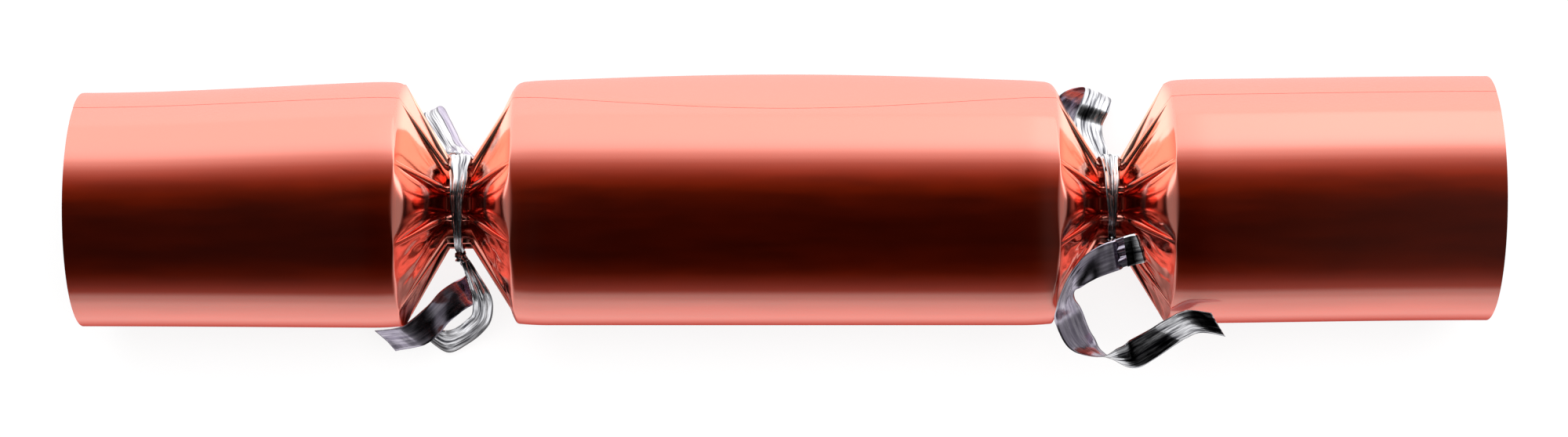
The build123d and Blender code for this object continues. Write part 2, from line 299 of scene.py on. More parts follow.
@dataclass(frozen=True)
class RibbonFilm(Finish):
    """Metallised ribbon film: mirror on its face, duller through the film on its back.

    Fine crinkles run along it, with a few ripples across where it was drawn over a blade. Its colour is
    streaked with a darker grey: a painted reflection of dark surroundings in the film.
    """

    # Darker grey mixed into the base colour in streaks: a painted reflection of the dark room
    painted_dark_reflection: str = "#3c3c44"
    painted_reflection_spread: tuple[float, float] = (-0.4, 1.4)
    roughness: tuple[float, float] = (0.06, 0.14)
    streak_mm: tuple[float, float, float] = (11.0, 0.7, 1.0)
    crinkle_mm: tuple[float, float, float] = (5.0, 0.9, 1.0)
    crinkle_height_mm: float = 0.12
    ripple_mm: tuple[float, float, float] = (2.2, 6.0, 1.0)
    ripple_height_mm: float = 0.06

    def material(self) -> bpy.types.Material:
        """Make the film's material.

        Returns:
            The new material.
        """
        made, tree, shader = self.start()
        shader.inputs["Metallic"].default_value = 1.0
        # Streaks of painted reflection: the darker grey mixed into the base colour
        streak = self.pattern(tree, self.streak_mm, 4, "UV")
        mixed = add_node(tree, "ShaderNodeMix", {"data_type": "RGBA"},
                         values={6: linear(self.colour), 7: linear(self.painted_dark_reflection)},
                         links={0: self.between(tree, streak, *self.painted_reflection_spread)})
        tree.links.new(mixed.outputs[2], shader.inputs["Base Color"])
        crinkle = self.pattern(tree, self.crinkle_mm, 3, "UV")
        ripple = self.pattern(tree, self.ripple_mm, 1, "UV")
        tree.links.new(self.between(tree, crinkle, *self.roughness), shader.inputs["Roughness"])
        self.raised(tree, shader, [(ripple, self.ripple_height_mm), (crinkle, self.crinkle_height_mm)])
        return made


@dataclass(frozen=True)
class FibreBoard(Finish):
    """Uncoated board or paper: matt, with the mottle and short fibres of its pulp."""

    second: str = "#ffffff"
    roughness: tuple[float, float] = (0.78, 0.92)
    fibre_mm: tuple[float, float, float] = (2.4, 0.35, 0.35)
    fibre_height_mm: float = 0.02
    mottle_mm: float = 7.0

    def material(self) -> bpy.types.Material:
        """Make the board's material.

        Returns:
            The new material.
        """
        made, tree, shader = self.start()
        fibre = self.pattern(tree, self.fibre_mm, 4)
        mottle = self.pattern(tree, (self.mottle_mm,) * 3, 3)
        share = add_node(tree, "ShaderNodeMath", {"operation": "MULTIPLY"},
                         links={0: self.between(tree, fibre, 0.2, 1.0),
                                1: self.between(tree, mottle, 0.3, 1.0)})
        mixed = add_node(tree, "ShaderNodeMix", {"data_type": "RGBA"},
                         values={6: linear(self.colour), 7: linear(self.second)},
                         links={0: share.outputs[0]})
        tree.links.new(mixed.outputs[2], shader.inputs["Base Color"])
        tree.links.new(self.between(tree, fibre, *self.roughness), shader.inputs["Roughness"])
        self.raised(tree, shader, [(fibre, self.fibre_height_mm)])
        return made


@dataclass(frozen=True)
class TurnedWood(Finish):
    """Small lathe-turned beech: fine grain along the turning axis under a thin wax."""

    second: str = "#8a5a30"
    grain_mm: tuple[float, float, float] = (12.0, 0.8, 0.8)
    pore_mm: tuple[float, float, float] = (1.6, 0.18, 0.18)
    pore_height_mm: float = 0.01
    roughness: tuple[float, float] = (0.36, 0.55)

    def material(self) -> bpy.types.Material:
        """Make the wood's material.

        Returns:
            The new material.
        """
        made, tree, shader = self.start()
        grain = self.pattern(tree, self.grain_mm, 5)
        pore = self.pattern(tree, self.pore_mm, 2)
        mixed = add_node(tree, "ShaderNodeMix", {"data_type": "RGBA"},
                         values={6: linear(self.colour), 7: linear(self.second)},
                         links={0: self.between(tree, grain, 0.0, 0.9)})
        tree.links.new(mixed.outputs[2], shader.inputs["Base Color"])
        tree.links.new(self.between(tree, pore, *self.roughness), shader.inputs["Roughness"])
        self.raised(tree, shader, [(pore, self.pore_height_mm)])
        return made


FOIL = FoilBoard("copper_mirror_foil", "#fd4208")
BOARD_BACK = FibreBoard("white_board_back", "#d9d5cd", "#eceae5")
# The second colour of each film is its painted dark reflection
RIBBON_FACE = RibbonFilm("silver_mirror_ribbon", "#f0f0f4")
RIBBON_BACK = RibbonFilm("ribbon_back_film", "#cbc4d2", "#9c94a6", roughness=(0.18, 0.28),
                         crinkle_height_mm=0.05, ripple_height_mm=0.05)
LINER_BOARD = FibreBoard("grey_liner_card", "#b7a486", "#cdbd9f")
STRIP_CARD = FibreBoard("manila_snap_card", "#c6b48f", "#dccdac")
DAB = FibreBoard("friction_compound", "#3a3532", "#5a504a", fibre_mm=(0.5, 0.5, 0.5),
                 fibre_height_mm=0.06)
SLEEVE_PAPER = FibreBoard("sleeve_paper", "#d8d0bd", "#ece6d8")
TISSUE = FibreBoard("crown_tissue", "#a8202c", "#c23a44", fibre_mm=(6.0, 0.6, 0.6),
                    fibre_height_mm=0.05)
MOTTO_PAPER = FibreBoard("motto_paper", "#efece2", "#f7f5ef")
TOP_WOOD = TurnedWood("beech_disc", "#c99a62")
SPINDLE_WOOD = TurnedWood("beech_spindle", "#b9844c", "#7d4e28")


class Place(Enum):
    """The three tubes of the cracker."""

    LEFT_END = -1
    BARREL = 0
    RIGHT_END = 1


@dataclass(frozen=True)
class Row:
    """One line of the rolled sheet, by the fold that it belongs to."""

    ridge: int
    on_ridge: bool
    share: float

    @property
    def panel(self) -> int:
        """Number of the panel after the fold, the same under the lap as over it."""
        return self.ridge % FOLD_COUNT

    @property
    def middle(self) -> float:
        """Nearness to the middle of the panel, from 0 on its folds to 1."""
        return 4 * self.share * (1 - self.share)


@dataclass(frozen=True)
class Station:
    """One ring of a tube: its place along the cracker and its distance from the nearest throat."""

    x: float
    away: float
    tubeward: int


@dataclass(frozen=True)
class Dent:
    """One crumple in a panel of a neck: the place of its deepest point and how far it is pushed in."""

    across: float
    down: float
    depth: float

    def at(self, across: float, down: float) -> float:
        """Depth of the crumple, with straight creases from its deepest point.

        Args:
            across: share of the way across the panel.
            down: share of the way to the throat.

        Returns:
            Depth in millimetres.
        """
        wide = min(across / self.across, (1 - across) / (1 - self.across))
        tall = min(down / self.down, (1 - down) / (1 - self.down))
        return self.depth * max(min(wide, tall), 0.0)


def new_object(name: str, mesh: bmesh.types.BMesh, materials: Sequence[bpy.types.Material], body: str) -> bpy.types.Object:
    """Turn a finished mesh to an object that rides on a body.

    Args:
        name: name of the piece.
        mesh: its mesh, which is freed.
        materials: materials of its slots.
        body: body that carries it.

    Returns:
        The new object.
    """
    data = bpy.data.meshes.new(name)
    mesh.to_mesh(data)
    mesh.free()
    made = bpy.data.objects.new(name, data)
    bpy.context.scene.collection.objects.link(made)
    for material in materials:
        data.materials.append(material)
    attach(made, body)
    LOG.info("built %s with %d faces", name, len(data.polygons))
    return made


def grid(columns: int, rows: int) -> tuple[bmesh.types.BMesh, dict[tuple[int, int], bmesh.types.BMVert]]:
    """Start a sheet as a flat grid.

    Args:
        columns: number of vertices along it.
        rows: number of vertices across it.

    Returns:
        The mesh and its vertices by column and row.
    """
    mesh = bmesh.new()
    bmesh.ops.create_grid(mesh, x_segments=columns - 1, y_segments=rows - 1, size=1.0)
    found = {}
    for vert in mesh.verts:
        column = round((vert.co.x + 1) / 2 * (columns - 1))
        row = round((vert.co.y + 1) / 2 * (rows - 1))
        found[column, row] = vert
    return mesh, found


def shade_smooth(mesh: bmesh.types.BMesh) -> None:
    """Shade every face of a mesh smoothly."""
    for face in mesh.faces:
        face.smooth = True


def thicken(made: bpy.types.Object, name: str, thickness: float, offset: float, back: int = 0
            ) -> bpy.types.Modifier:
    """Give a sheet its thickness.

    Args:
        made: object of the sheet.
        name: name of the modifier.
        thickness: thickness in millimetres.
        offset: -1 to grow behind the face and 0 to grow to both sides.
        back: material slots from the face's to the back's.

    Returns:
        The modifier.
    """
    wall = made.modifiers.new(name, "SOLIDIFY")
    wall.thickness = thickness / 1000
    wall.offset = offset
    wall.material_offset = back
    return wall


def ribbon_object(name: str, mesh: bmesh.types.BMesh, offset: float) -> bpy.types.Object:
    """Turn a finished length of ribbon to an object with both faces of its film.

    Args:
        name: name of the piece.
        mesh: its mesh, which is freed.
        offset: side to which the film is thick, as for thicken.

    Returns:
        The new object.
    """
    films = [RIBBON_FACE.material(), RIBBON_BACK.material()]
    made = new_object(name, mesh, films, "barrel")
    thicken(made, "film", FILM, offset, 1)
    return made


def turn_outward(mesh: bmesh.types.BMesh) -> None:
    """Point the faces of a sheet that wraps the axis away from it.

    Args:
        mesh: mesh of the sheet.
    """
    total = 0.0
    for face in mesh.faces:
        face.normal_update()
        centre = face.calc_center_median()
        total += face.normal.dot(centre - metres(centre.x * 1000, 0, 0)) * face.calc_area()
    if total < 0:
        bmesh.ops.reverse_faces(mesh, faces=mesh.faces[:])


@dataclass
class Tube:
    """One tube of the cracker with the pleated half necks that close it."""

    place: Place
    node: str
    body: str
    flap_width: float = 28.0
    lap_height: float = 0.55 * BOARD
    lap_fade: float = 9.0
    lap_edge: float = 0.15
    edge_turn: float = 2.4
    flap_bow: float = 0.0
    flap_turn: float = 0.0
    rim_squeeze: tuple[float, float] = (1.0, 1.0)
    rim_drift: tuple[float, float] = (0.0, 0.0)
    scallop: float = 0.15
    scallop_reach: float = 9.0
    shoulder: float = 2.2
    crease: float = 0.5
    fold_reach: float = 0.15
    sink: float = 0.35
    sink_reach: float = 7.0
    ridge_half: tuple[float, float] = (0.55, 0.95)
    bellies: dict[int, float] = field(default_factory=lambda: {6: 0.6, 7: 1.8, 8: 0.2})
    crumples: dict[int, float] = field(default_factory=lambda: {4: 0.9, 5: 1.5, 6: 1.5, 8: 0.25})
    dents: dict[tuple[int, int], Sequence[Dent]] = field(default_factory=dict)

    def stations(self) -> list[Station]:
        """Set out the rings from one end of the tube's sheet to the other, closest at the score line.

        Returns:
            The rings in order.
        """
        cone = HALF_NECK - HALF_THROAT
        steps = [1.0, 0.96, 0.92, *[0.87 - 0.05 * step for step in range(13)], 0.23, 0.19, 0.16, 0.13,
                 0.105, 0.085, 0.065, 0.048, 0.032, 0.018, 0.008, 0.0]
        near = [0.12, 0.3, 0.5, 0.75, 1.0, 1.3, 1.6, 2.0, 2.5, 3.2, 4.0, 5.0, 6.5, 8.5, 11.0, 14.0]
        aways = [TEAR_GAP / 2, HALF_THROAT / 2 + 0.05]
        aways += [HALF_NECK - cone * step for step in steps]
        aways += [HALF_NECK + step for step in near]
        if self.place is Place.BARREL:
            rest = BARREL_SCORE - near[-1]
            aways += [HALF_NECK + near[-1] + rest * step / 12 for step in range(1, 13)]
            right = [Station(THROAT_MIDDLE - away, away, -1) for away in aways]
            return right + [Station(-ring.x, ring.away, 1) for ring in reversed(right[:-1])]
        rest = END_LENGTH - near[-1]
        aways += [HALF_NECK + near[-1] + rest * step / 16 for step in range(1, 17)]
        side = self.place.value
        return [Station(side * (THROAT_MIDDLE + away), away, side) for away in aways]

    def rows(self) -> list[Row]:
        """Set out the lines of the rolled sheet.

        Returns:
            The lines from the free edge of its lap to the edge under the lap.
        """
        made = [Row(0, True, step / RIDGE_STEPS) for step in range(RIDGE_STEPS)]
        for ridge in range(FOLD_COUNT + 1):
            last = LAP_STEPS if ridge == FOLD_COUNT else PANEL_STEPS
            made.append(Row(ridge, True, 1.0))
            made += [Row(ridge, False, step / PANEL_STEPS) for step in range(1, last)]
            if ridge < FOLD_COUNT:
                made += [Row(ridge + 1, True, (step - RIDGE_STEPS) / RIDGE_STEPS)
                         for step in range(2 * RIDGE_STEPS)]
        return made

    def squeeze(self, away: float, y: float) -> float:
        """Apply the slight oval and drift of a hand-rolled end, over its length.

        Args:
            away: distance from the throat's middle.
            y: place across the cracker.

        Returns:
            The new place across the cracker.
        """
        share = smooth(-0.2, 1.0, (away - HALF_NECK) / END_LENGTH) if away > HALF_NECK else 0.0
        fade = smooth(HALF_THROAT, HALF_NECK, away)
        start, stop = self.rim_squeeze
        wide = 1 + (start + (stop - start) * share - 1) * fade
        near, far = self.rim_drift
        return y * wide + (near + (far - near) * share) * fade

    def on_tube(self, angle: float, out: float) -> Vector:
        """Place on the tube's wall, lifted where the sheet laps over itself.

        Args:
            angle: angle of the sheet.
            out: distance from the wall.

        Returns:
            The place as (y, z).
        """
        lap_stop = FIRST_RIDGE + self.flap_width
        over = 1 - smooth(lap_stop, lap_stop + self.lap_fade, angle)
        rise = smooth(FIRST_RIDGE - 0.3, FIRST_RIDGE + self.edge_turn, angle)
        over *= self.lap_edge + (1 - self.lap_edge) * rise
        radius = TUBE_RADIUS + out + self.lap_height * over
        return Vector((radius * math.sin(math.radians(angle)), radius * math.cos(math.radians(angle))))

    def score_line(self, row: Row) -> tuple[float, Vector, float]:
        """Where a line of the sheet crosses the score line.

        Args:
            row: line of the sheet.

        Returns:
            Its angle, its place as (y, z), and how far the scallop between two folds draws it in.
        """
        half = math.degrees(self.ridge_half[0] / TUBE_RADIUS)
        angle = FIRST_RIDGE + FOLD_PITCH * row.ridge
        if row.on_ridge:
            return angle + half * row.share, self.on_tube(angle + half * row.share, -self.sink), 0.0
        angle += half + (FOLD_PITCH - 2 * half) * row.share
        return angle, self.on_tube(angle, -self.sink), self.scallop * row.middle

    def in_throat(self, row: Row) -> Vector:
        """Place of a line of the sheet in the gathered throat.

        Args:
            row: line of the sheet.

        Returns:
            The place as (y, z).
        """
        half = math.degrees(self.ridge_half[1] / FOLD_ROOT)
        angle = math.radians(FIRST_RIDGE + FOLD_PITCH * row.ridge)
        if row.on_ridge:
            radius = FOLD_ROOT + (FOLD_TIP - FOLD_ROOT) * max(1 - row.share ** 2, 0.0) ** 0.6
            angle += math.radians(half * row.share)
            return Vector((radius * math.sin(angle), radius * math.cos(angle)))
        ends = [angle + math.radians(half), angle + math.radians(FOLD_PITCH - half)]
        first, last = [FOLD_ROOT * Vector((math.sin(turn), math.cos(turn))) for turn in ends]
        return first.lerp(last, row.share)

    def crumple(self, side: int, row: Row, down: float) -> float:
        """Depth of the small flat facets that a panel is crushed to, none at its borders.

        Args:
            side: -1 for the left neck and 1 for the right.
            row: line of the sheet.
            down: share of the way to the throat.

        Returns:
            Depth in millimetres.
        """
        spot = Vector((row.share * 2.6 + 7 * self.place.value, down * 2.4 + 3 * side, row.panel * 1.7))
        near = noise.voronoi(spot)[0][0]
        fade = min(1.0, 7 * row.share, 7 * (1 - row.share), 7 * down, 5 * (1 - down))
        return self.crumples.get(row.panel, 0.0) * (near - 0.45) * max(fade, 0.0)

    def belly(self, row: Row, down: float) -> float:
        """Height of a panel's soft belly, which is fullest a third of the way to the throat.

        Args:
            row: line of the sheet.
            down: share of the way to the throat.

        Returns:
            Height in millimetres.
        """
        fullest = 4 / 27
        return self.bellies.get(row.panel, 0.0) * down * (1 - down) ** 2 / fullest * row.middle ** 0.7

    def neck_point(self, ring: Station, row: Row, down: float) -> Vector:
        """Place of a line of the sheet on its way from the score line to the throat.

        Args:
            ring: ring of the neck, for its side.
            row: line of the sheet.
            down: share of the way, from 0 on the score line to 1 at the throat.

        Returns:
            Distance from the throat's middle, then y and z.
        """
        _, start, drawn = self.score_line(row)
        stop = self.in_throat(row)
        flat = start.lerp(stop, down)
        away = HALF_NECK + drawn + (HALF_THROAT - HALF_NECK - drawn) * down
        if not row.on_ridge:
            side = 1 if ring.x > 0 else -1
            pushed = sum(dent.at(row.share, down) for dent in self.dents.get((side, row.panel), ()))
            pushed += self.crumple(side, row, down) - self.belly(row, down)
            away += pushed * PUSH_ALONG
            flat *= 1 - pushed * PUSH_IN / flat.length
        return Vector((away, flat.x, flat.y))

    def tube_point(self, row: Row, edge: float) -> Vector:
        """Place of a line of the sheet on the tube.

        Args:
            row: line of the sheet.
            edge: distance from the score line.

        Returns:
            Distance from the throat's middle, then y and z.
        """
        angle, _, drawn = self.score_line(row)
        away = HALF_NECK + edge + drawn * (1 - smooth(0, self.scallop_reach, edge))
        bow = math.sin(math.pi / 2 * min(edge / BARREL_SCORE, 1.0)) ** 1.2
        lift = smooth(FIRST_RIDGE, FIRST_RIDGE + 30, angle)
        lift *= 1 - smooth(FIRST_RIDGE + 30, FIRST_RIDGE + 90, angle)
        turned = angle - self.flap_turn * bow * (1 - smooth(FIRST_RIDGE, FIRST_RIDGE + 60, angle))
        sunk = self.sink * max(1 - edge / self.sink_reach, 0.0) ** 2
        over = self.on_tube(angle, self.flap_bow * bow * lift - sunk).length
        return Vector((away, over * math.sin(math.radians(turned)), over * math.cos(math.radians(turned))))

    def point(self, ring: Station, row: Row) -> Vector:
        """Place of one point of the sheet's outer face, with a soft shoulder at the middle of each panel.

        Args:
            ring: ring that it lies on.
            row: line of the sheet that it lies on.

        Returns:
            The place in the frame.
        """
        down = (HALF_NECK - ring.away) / (HALF_NECK - HALF_THROAT)
        edge = ring.away - HALF_NECK if down <= 0 else -down * NECK_SLANT
        reach = self.fold_reach
        if not row.on_ridge:
            reach += (self.shoulder if row.panel == 0 else self.crease) * row.middle ** 1.5
        if down >= 1:
            flat = self.in_throat(row)
            spot = Vector((ring.away, flat.x, flat.y))
        elif abs(edge) < reach:
            turn = (edge + reach) / (2 * reach)
            low = self.neck_point(ring, row, reach / NECK_SLANT)
            corner = self.tube_point(row, 0.0)
            high = self.tube_point(row, reach)
            spot = low * (1 - turn) ** 2 + corner * (2 * turn * (1 - turn)) + high * turn ** 2
        elif edge > 0:
            spot = self.tube_point(row, edge)
        else:
            spot = self.neck_point(ring, row, down)
        x = ring.x + ring.tubeward * (spot.x - ring.away)
        return metres(x, self.squeeze(spot.x, spot.y), spot.z)

    def build(self) -> bpy.types.Object:
        """Roll and fold the board of this tube.

        Returns:
            The wrapper's object.
        """
        rings = self.stations()
        rows = self.rows()
        mesh, verts = grid(len(rings), len(rows))
        for (column, row), vert in verts.items():
            vert.co = self.point(rings[column], rows[row])
        place_of = {vert: key for key, vert in verts.items()}
        shade_smooth(mesh)
        for edge in mesh.edges:
            (a, a_row), (b, b_row) = (place_of[vert] for vert in edge.verts)
            on_fold = a_row == b_row and rows[a_row].on_ridge and abs(rows[a_row].share) == 1.0
            if edge.is_boundary or (on_fold and max(rings[a].away, rings[b].away) < HALF_NECK):
                edge.smooth = False
        turn_outward(mesh)
        faces = [FOIL.material(), BOARD_BACK.material()]
        made = new_object(self.node + "_foil", mesh, faces, self.body)
        layer = made.data.attributes.new(FOLD_AND_PAINTED_REFLECTION_LAYER, "FLOAT", "POINT")
        for vert in made.data.vertices:
            away = abs(abs(vert.co.x * 1000) - THROAT_MIDDLE)
            # Stronger towards +Y, the side that faces the bright wall: painted reflection in the foil's
            # colour
            upper = 0.25 + 0.75 * smooth(2, 10, vert.co.y * 1000)
            layer.data[vert.index].value = upper * smooth(HALF_NECK + 0.5, HALF_NECK - 1.5, away)
        thicken(made, "board", BOARD, -1, 1).thickness_clamp = 0.6
        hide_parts(self.node)
        return made

    def line(self, start: float, stop: float, node: str) -> bpy.types.Object:
        """Roll the card liner of this tube.

        Args:
            start: lower end along the cracker.
            stop: upper end along the cracker.
            node: CAD node that it stands for.

        Returns:
            The liner's object.
        """
        columns, rows = 40, 150
        mesh, verts = grid(columns, rows)
        for (column, row), vert in verts.items():
            x = start + (stop - start) * column / (columns - 1)
            away = abs(abs(x) - THROAT_MIDDLE)
            turn = 230 + 378 * row / (rows - 1)
            radius = LINER_RADIUS - 0.25 - (LINER_CARD / 2) * smooth(560, 600, turn)
            y = radius * math.sin(math.radians(turn))
            z = radius * math.cos(math.radians(turn))
            vert.co = metres(x, self.squeeze(away, y), z)
        shade_smooth(mesh)
        turn_outward(mesh)
        made = new_object(node + "_card", mesh, [LINER_BOARD.material()], self.body)
        thicken(made, "card", LINER_CARD / 2, -1)
        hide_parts(node)
        return made


@dataclass
class Tail:
    """One loose length of ribbon, by places chosen along it and the direction across it at each."""

    name: str
    places: Sequence[tuple[tuple[float, float, float], tuple[float, float, float]]]
    face: int = 1
    start_width: float = 2.2
    spread: float = 9.0
    cup: float = 0.25
    crinkle: float = 0.12
    seed: float = 0.0

    def along(self, share: float) -> tuple[Vector, Vector]:
        """Follow the ribbon on a smooth curve through its places.

        Args:
            share: share of its run.

        Returns:
            The ribbon's middle there and the direction across it.
        """
        last = len(self.places) - 1
        index = min(int(share * last), last - 1)
        t = share * last - index
        around = [self.places[min(max(index + step, 0), last)] for step in (-1, 0, 1, 2)]
        weights = (
            -0.5 * t ** 3 + t ** 2 - 0.5 * t, 1.5 * t ** 3 - 2.5 * t ** 2 + 1,
            -1.5 * t ** 3 + 2 * t ** 2 + 0.5 * t, 0.5 * t ** 3 - 0.5 * t ** 2,
        )
        middle, across = Vector(), Vector()
        for (spot, way), weight in zip(around, weights):
            middle += Vector(spot) * weight
            across += Vector(way).normalized() * weight
        return middle, across.normalized()

    @staticmethod
    def heading(middles: Sequence[tuple[Vector, Vector]], column: int) -> Vector:
        """Way ahead along the ribbon at one of its columns."""
        return middles[min(column + 1, len(middles) - 1)][0] - middles[max(column - 1, 0)][0]

    def build(self, tie: str, throat: float) -> bpy.types.Object:
        """Lay out the ribbon.

        Args:
            tie: name of the ribbon that it belongs to.
            throat: place of the throat along the cracker.

        Returns:
            The tail's object.
        """
        columns, rows = 140, 13
        mesh, verts = grid(columns, rows)
        layer = mesh.loops.layers.uv.new("run")
        runs = [0.0]
        middles = [self.along(column / (columns - 1)) for column in range(columns)]
        for before, after in zip(middles, middles[1:]):
            runs.append(runs[-1] + (after[0] - before[0]).length)
        for (column, row), vert in verts.items():
            middle, across = middles[column]
            normal = self.heading(middles, column).cross(across).normalized()
            share = row / (rows - 1) - 0.5
            gather = smooth(0, self.spread, runs[column])
            width = self.start_width + (RIBBON_WIDTH - self.start_width) * gather
            wrinkle = noise.noise(Vector((runs[column] * 0.32, share * 7 + self.seed, self.seed)))
            pleat = (1 - gather) * 0.5 * math.sin(share * 17)
            off = self.cup * (1 - 4 * share * share) + self.crinkle * wrinkle + pleat
            spot = middle + across * (share * width) + normal * (off * self.face)
            vert.co = metres(spot.x + throat, spot.y, spot.z)
        place_of = {vert: key for key, vert in verts.items()}
        shade_smooth(mesh)
        for face in mesh.faces:
            for loop in face.loops:
                column, row = place_of[loop.vert]
                loop[layer].uv = (runs[column] / 1000, (row / (rows - 1)) * RIBBON_WIDTH / 1000)
        total = 0.0
        for face in mesh.faces:
            face.normal_update()
            column = place_of[face.loops[0].vert][0]
            total += face.normal.dot(self.heading(middles, column).cross(middles[column][1]))
        if total * self.face < 0:
            bmesh.ops.reverse_faces(mesh, faces=mesh.faces[:])
        return ribbon_object(f"{tie}_{self.name}", mesh, 0)


@dataclass
class Tie:
    """Ribbon tied round one throat: a gathered band, its knot and its loose tails."""

    node: str
    throat: float
    knot_angle: float
    tails: Sequence[Tail]
    band_radius: float = 10.75
    knot_width: float = 1.7
    far_width: float = 4.8
    gather: float = 3.0
    pleat: float = 0.22
    seed: float = 0.0

    def band(self) -> bpy.types.Object:
        """Wrap the gathered band round the throat.

        Returns:
            The band's object.
        """
        columns, rows = 145, 25
        length = 2 * math.pi * self.band_radius
        mesh, verts = grid(columns, rows)
        layer = mesh.loops.layers.uv.new("run")
        place_of = {vert: key for key, vert in verts.items()}
        for (column, row), vert in verts.items():
            turn = column / (columns - 1)
            angle = math.radians(self.knot_angle + 360 * turn)
            spread = math.sin(math.pi * turn)
            width = self.knot_width + (self.far_width - self.knot_width) * spread ** self.gather
            share = row / (rows - 1) - 0.5
            way = 2 * math.pi * turn
            loop = Vector((math.cos(way) * 1.3, math.sin(way) * 1.3, self.seed))
            fold = noise.noise(loop + Vector((0, 0, share * 5)))
            ridge = math.sin(share * (26 - 10 * spread) + 2 * fold)
            radius = self.band_radius + self.pleat * ridge * (1.2 - 0.7 * spread) + 0.2 * fold
            radius = max(radius - 0.35 * (2 * share) ** 4, FOLD_TIP + 0.3)
            x = self.throat + share * width + 0.35 * noise.noise(loop * 1.7)
            vert.co = metres(x, radius * math.sin(angle), radius * math.cos(angle))
        shade_smooth(mesh)
        for face in mesh.faces:
            for loop in face.loops:
                column, row = place_of[loop.vert]
                loop[layer].uv = (column / (columns - 1) * length / 1000,
                                  row / (rows - 1) * RIBBON_WIDTH / 1000)
        bmesh.ops.remove_doubles(mesh, verts=mesh.verts[:], dist=1e-6)
        turn_outward(mesh)
        return ribbon_object(self.node + "_band", mesh, -1)

    def knot(self) -> bpy.types.Object:
        """Crush the knot: two small turns of ribbon drawn tight.

        Returns:
            The knot's object.
        """
        mesh = bmesh.new()
        bmesh.ops.create_uvsphere(mesh, u_segments=40, v_segments=24, radius=1.0)
        layer = mesh.loops.layers.uv.new("run")
        out = math.radians(self.knot_angle)
        for vert in mesh.verts:
            spot = vert.co.copy()
            fold = noise.noise(spot * 1.6 + Vector((self.seed, 3, 0)))
            crease = abs(math.sin(spot.x * 5 + 3 * fold)) * 0.28
            size = 1 + 0.35 * fold - crease
            radial = self.band_radius + 0.9 + 1.5 * spot.z * size
            sideways = 1.5 * spot.y * size
            vert.co = metres(
                self.throat + 1.6 * spot.x * size,
                radial * math.sin(out) + sideways * math.cos(out),
                radial * math.cos(out) - sideways * math.sin(out),
            )
        shade_smooth(mesh)
        for face in mesh.faces:
            for loop in face.loops:
                loop[layer].uv = (loop.vert.co.x, loop.vert.co.z)
        bmesh.ops.recalc_face_normals(mesh, faces=mesh.faces[:])
        return new_object(self.node + "_knot", mesh, [RIBBON_FACE.material()], "barrel")

    def build(self) -> list[bpy.types.Object]:
        """Make the band, the knot and the tails.

        Returns:
            Their objects.
        """
        band = self.band()
        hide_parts(self.node)
        return [band, self.knot(), *[tail.build(self.node, self.throat) for tail in self.tails]]


@dataclass
class Contents:
    """Snap, crown, motto and gift: CAD solids that keep their shape and get their real finishes."""

    finishes: dict[str, Finish]

    def dress(self) -> None:
        """Give each node its material."""
        for node, finish in self.finishes.items():
            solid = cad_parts[node]
            solid.data.materials.clear()
            solid.data.materials.append(finish.material())
            LOG.info("dressed %s as %s", node, finish.label)


